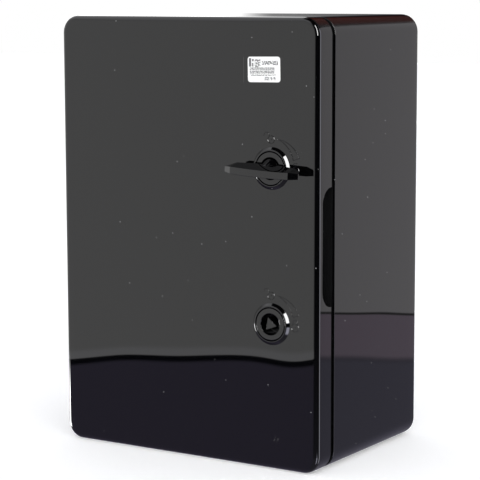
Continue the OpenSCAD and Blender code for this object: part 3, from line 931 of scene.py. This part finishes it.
def key_wing():
    """The wing as rings across it, closer together where a facet starts."""
    half = [2.0 * k for k in range(11)] + [21.6, 22.0, 22.4, 23.5, 24.3, 24.6, 24.9, 26.0, 27.0, 27.7, WING_HALF]
    rings = []
    for x in [-x for x in reversed(half[1:])] + half:
        rear, front = between(abs(x), WING_REAR_LINE), wing_front(x)
        belly = WING_BELLY * (1 - (x / WING_HALF) ** 2)
        top = [(y, wing_height(x, y, 1.45, 1.3)) for y in (rear, front)]
        under = [(y, -wing_height(x, y, 1.25 - belly, 2.4)) for y in (front, rear)]
        corners = [(*p, r) for p, r in zip(top + under, (0.4, 0.15, 0.3, 0.4))]
        ring = rounded([(rear, 0, 0), *corners, (rear, 0, 0)], 4)[:-1]
        rings.append([(x, y, z) for y, z in ring])
    return loft(rings)


def key_blade():
    made = solid(key_wing())
    barrel = rounded([
        (0.01, -134.5, 0), (6.2, -134.5, 0.4), (6.2, -144.5, 0.6), (3.3, -150.5, 0.3), (0.01, -150.5, 0),
    ])
    union(made, lathe(barrel, (0, 0), 64, closed=False))
    triangle = []
    for tip in (0, 120, 240):
        triangle += arc_points(0, 0, 5.0, tip - TIP_HALF_ANGLE, tip + TIP_HALF_ANGLE, 2)
    cut(made, prism(triangle, -144.4, -133))
    droop = Matrix.Rotation(KEY_DROOP, 4, "Y")
    sag = Matrix.Identity(4)
    sag[2][1] = KEY_SAG
    sag[2][3] = -KEY_SAG * KEY_PIVOT * MM
    x, z = LOCKS["upper"]
    made.data.transform(Matrix.Translation((x * MM, 0, z * MM)) @ droop @ sag)
    return made


piece(key_blade(), "key_wing", "key", "black_lock_plastic", lock_plastic, "wing_key", angle=20)

# ---- Camera ----


def look_matrix(place, yaw, pitch, roll):
    forward = Vector((-math.sin(yaw) * math.cos(pitch), math.cos(yaw) * math.cos(pitch), math.sin(pitch)))
    right = Vector((math.cos(yaw), math.sin(yaw), 0))
    up = right.cross(forward)
    turned_right = right * math.cos(roll) + up * math.sin(roll)
    turned_up = up * math.cos(roll) - right * math.sin(roll)
    m = Matrix((turned_right, turned_up, -forward)).transposed().to_4x4()
    m.translation = place
    return m


CAMERA_PLACE = Vector((0.6994, -1.1674, 0.168))
CAMERA_YAW = 0.5689
CAMERA_PITCH = -0.135
CAMERA_ROLL = -0.0025

camera_data = bpy.data.cameras.new("camera")
camera_data.lens = 138.8
camera_data.sensor_width = 36
camera_data.clip_end = 20
camera = bpy.data.objects.new("camera", camera_data)
camera.matrix_world = look_matrix(CAMERA_PLACE, CAMERA_YAW, CAMERA_PITCH, CAMERA_ROLL)
scene.collection.objects.link(camera)
scene.camera = camera

# ---- Studio ----

# The room as the gloss plastic mirrors it: (middle azimuth, half width, softness, lowest elevation, its
# softness, highest elevation, its softness, colour), in degrees, each painted over those before it. Azimuth 0
# is the viewer's side of the door and 90 is to the right.
ROOM = [
    (0, 200, 1, -95, 1, -15, 6, (0.26, 0.25, 0.31)),
    (0, 200, 1, 30, 12, 95, 1, (0.006, 0.004, 0.004)),
    (-168, 26, 6, 22, 6, 42, 6, (0.16, 0.04, 0.03)),
    (-70, 72, 14, 20, 15, 61, 1.5, (1.4, 1.4, 1.45)),
    (-70, 72, 14, -11.34, 0.02, 22, 12, (1.22, 1.22, 1.22)),
    (-70, 72, 14, -11.34, 0.02, -11.1, 0.1, (1.5, 1.5, 1.55)),
    (-70, 72, 14, -11.5, 0.03, -11.34, 0.02, (0.01, 0.01, 0.02)),
    (-70, 72, 14, -95, 1, -11.52, 0.06, (0.29, 0.26, 0.39)),
    (-72, 9, 1, -21, 1.5, -12, 1, (60, 60, 60)),
    (57.5, 6.5, 0.6, 1.5, 0.5, 52, 1, (25, 25, 25)),
    (67.5, 8, 1.5, -45, 6, -16, 1.5, (5, 5, 6)),
    (-125, 12, 1, -23, 1.5, -8, 1, (3.5, 3.5, 3.5)),
    (122, 10, 1, -40, 6, 30, 6, (3.2, 3.2, 3.6)),
    (155, 23, 2, -10.01, 0.05, 23, 1, (0.74, 0.72, 0.75)),
    (155, 23, 2, -11.4, 0.15, -10.01, 0.05, (0.55, 0.46, 0.57)),
    (155, 23, 2, -10.05, 0.03, -9.98, 0.03, (0.1, 0.1, 0.1)),
    (155, 23, 2, -40, 6, -11.4, 0.15, (0.26, 0.25, 0.33)),
    (-134.5, 12.5, 1.5, -22, 2, 45, 12, (3.2, 3.2, 3.2)),
]
ROOM_BASE = (0.012, 0.012, 0.016)

world = bpy.data.worlds.new("studio")
scene.world = world
world.use_nodes = True


def paint_world(tree):
    g = Graph(tree)
    direction = g.add("ShaderNodeSeparateXYZ", {0: g.add("ShaderNodeTexCoord").outputs["Generated"]}).outputs
    behind = g.math("MULTIPLY", direction[1], -1.0)
    azimuth = g.math("MULTIPLY", g.math("ARCTAN2", direction[0], behind), 180 / math.pi)
    elevation = g.math("MULTIPLY", g.math("ARCSINE", direction[2]), 180 / math.pi)
    colour = g.add("ShaderNodeRGB").outputs[0]
    colour.default_value = (*ROOM_BASE, 1)
    for middle, half, soft, low, low_soft, high, high_soft, paint in ROOM:
        turned = g.math("MODULO", g.math("ADD", azimuth, 540.0 - middle), 360.0)
        off = g.math("ABSOLUTE", g.math("SUBTRACT", turned, 180.0))
        share = g.smooth(off, half + soft, half - soft)
        share = g.math("MULTIPLY", share, g.smooth(elevation, low - low_soft, low + low_soft))
        share = g.math("MULTIPLY", share, g.smooth(elevation, high + high_soft, high - high_soft))
        colour = g.mix(share, colour, (*paint, 1))
    rays = g.add("ShaderNodeLightPath").outputs
    mirrored = g.add("ShaderNodeBackground", {"Color": colour})
    ambient = g.add("ShaderNodeBackground", {"Color": (0.95, 0.96, 1, 1), "Strength": 0.8})
    white = g.add("ShaderNodeBackground", {"Color": (1, 1, 1, 1), "Strength": 1.0})
    lit = g.add("ShaderNodeMixShader", {0: rays["Is Glossy Ray"], 1: ambient.outputs[0], 2: mirrored.outputs[0]})
    seen = g.add("ShaderNodeMixShader", {0: rays["Is Camera Ray"], 1: lit.outputs[0], 2: white.outputs[0]})
    tree.links.new(seen.outputs[0], tree.nodes["World Output"].inputs[0])


world.node_tree.nodes.remove(world.node_tree.nodes["Background"])
paint_world(world.node_tree)


def studio_floor():
    size = 6000.0
    mesh = bpy.data.meshes.new("floor")
    corners = [(-size, -size), (size, -size), (size, size), (-size, size)]
    mesh.from_pydata([(x * MM, y * MM, (-HALF_H - 0.3) * MM) for x, y in corners], [], [(0, 1, 2, 3)])
    made = bpy.data.objects.new("floor", mesh)
    paint = material("floor_paint", (0.9, 0.9, 0.9), 0.9)
    shader = paint.node_tree.nodes["Principled BSDF"].inputs
    shader["Emission Color"].default_value = (1, 1, 1, 1)
    shader["Emission Strength"].default_value = 0.35
    mesh.materials.append(paint)
    made.visible_glossy = False
    scene.collection.objects.link(made)


studio_floor()


def softbox(name, place, aim, size, power):
    data = bpy.data.lights.new(name, "AREA")
    data.shape = "RECTANGLE"
    data.size, data.size_y = size
    data.energy = power
    made = bpy.data.objects.new(name, data)
    made.location = place
    made.rotation_mode = "QUATERNION"
    made.rotation_quaternion = (Vector(aim) - Vector(place)).to_track_quat("-Z", "Y")
    made.visible_glossy = False
    scene.collection.objects.link(made)


softbox("key_light", (1.2, -1.5, 1.3), (0, -0.07, 0), (1.2, 1.2), 12)

scene.view_settings.view_transform = "Standard"
